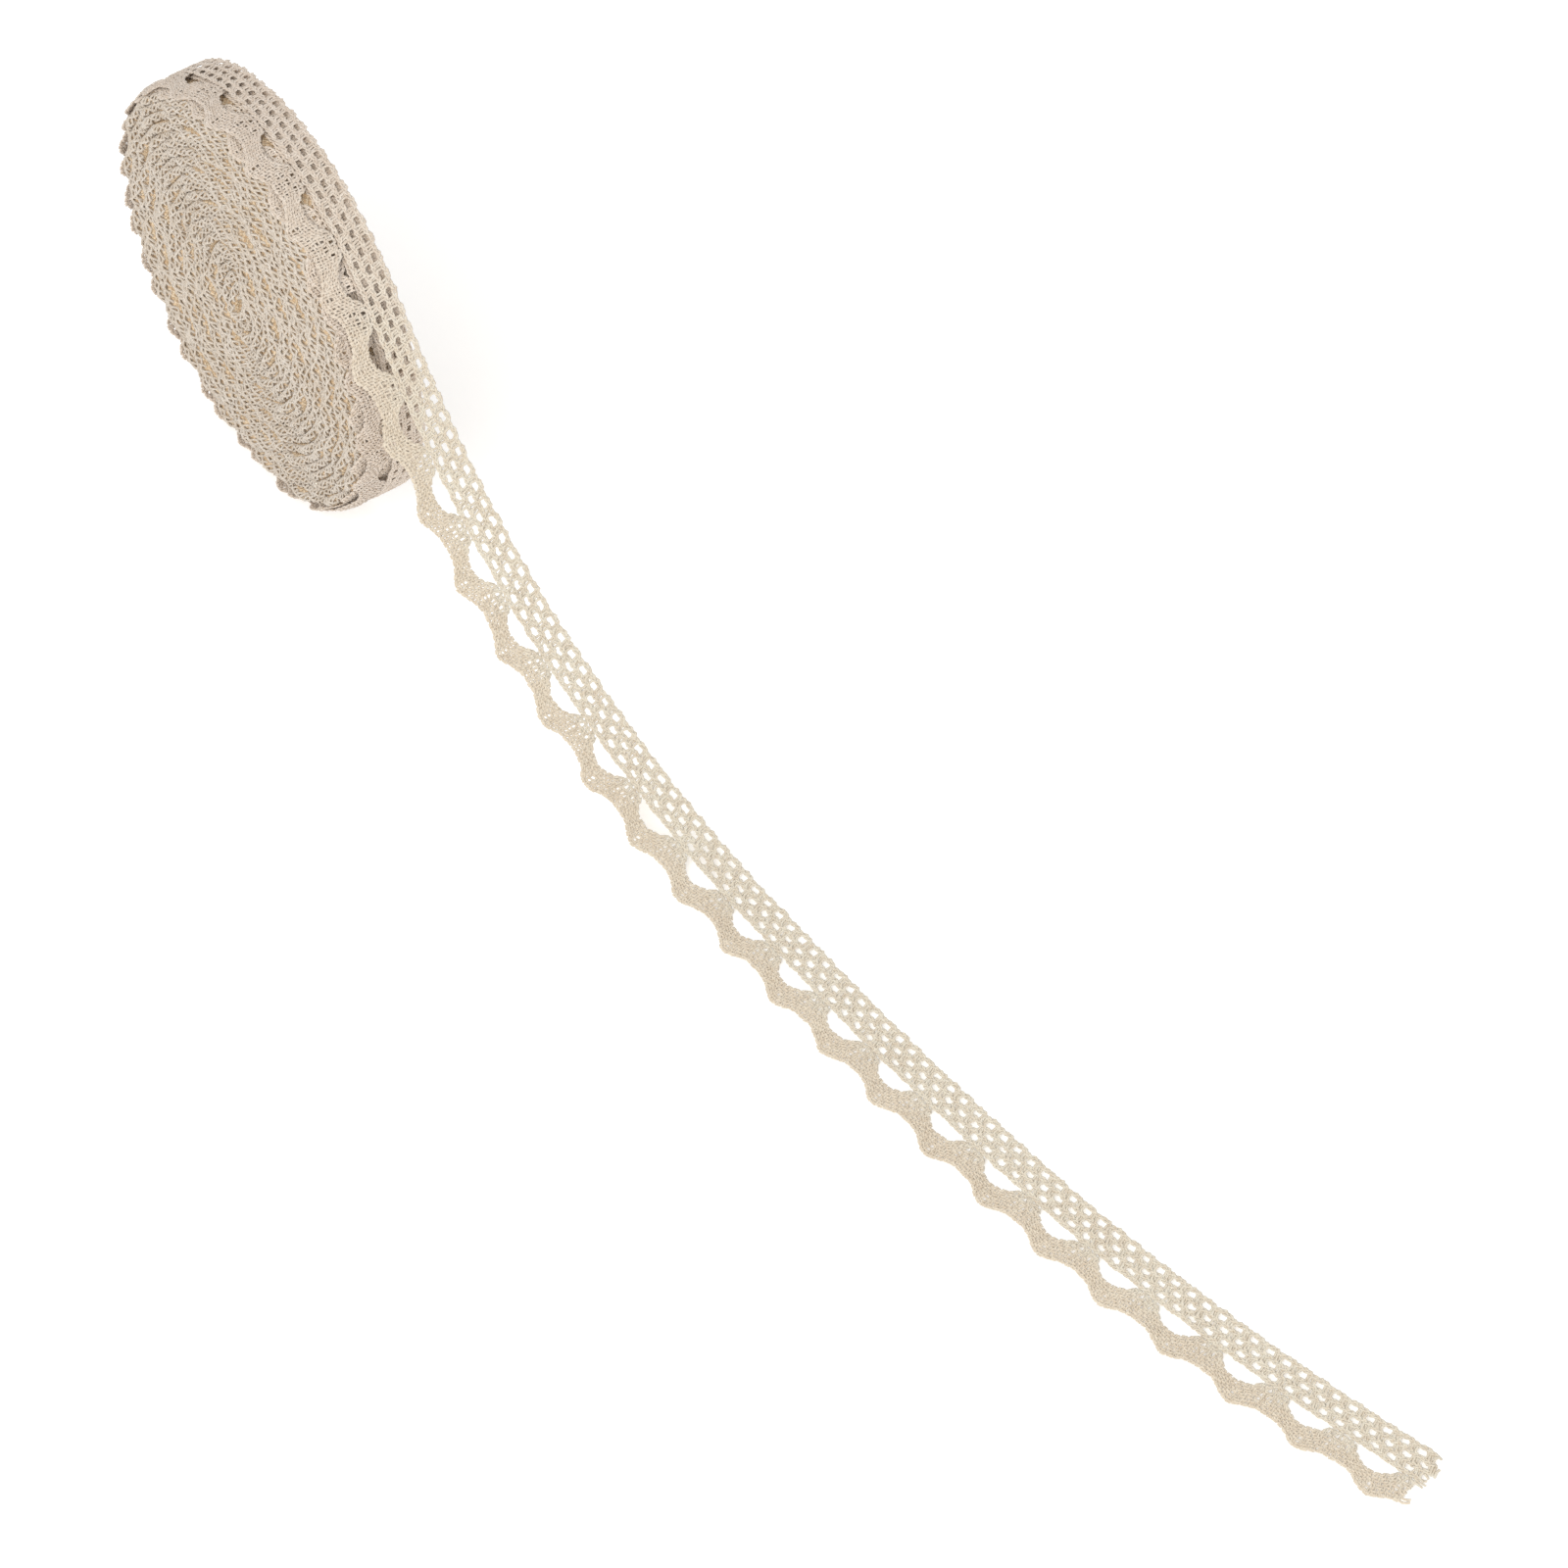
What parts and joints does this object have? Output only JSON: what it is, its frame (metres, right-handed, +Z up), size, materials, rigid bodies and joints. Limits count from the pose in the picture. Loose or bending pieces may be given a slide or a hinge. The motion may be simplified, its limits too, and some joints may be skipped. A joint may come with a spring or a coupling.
{
  "type": "roll of lace trim",
  "caption": "Narrow roll of natural cotton lace edging standing on its rim, spiral of scalloped turns on one side, its loose end unrolled flat in front of it.",
  "frame": {"origin": "middle of the small flat foot that the roll stands on", "axes": "+Z up, X along the roll's axis with the scalloped edges facing -X, loose end running away along -Y"},
  "size_m": [0.0389, 0.3011, 0.0731],
  "materials": {
    "wound_lace": "matt natural unbleached cotton yarn, wound turns with warm brown gaps",
    "loose_lace": "matt natural unbleached cotton yarn, single open layer"
  },
  "bodies": {
    "root": {"wound_roll": "wound_lace", "loose_end": "loose_lace"}
  },
  "joints": []
}
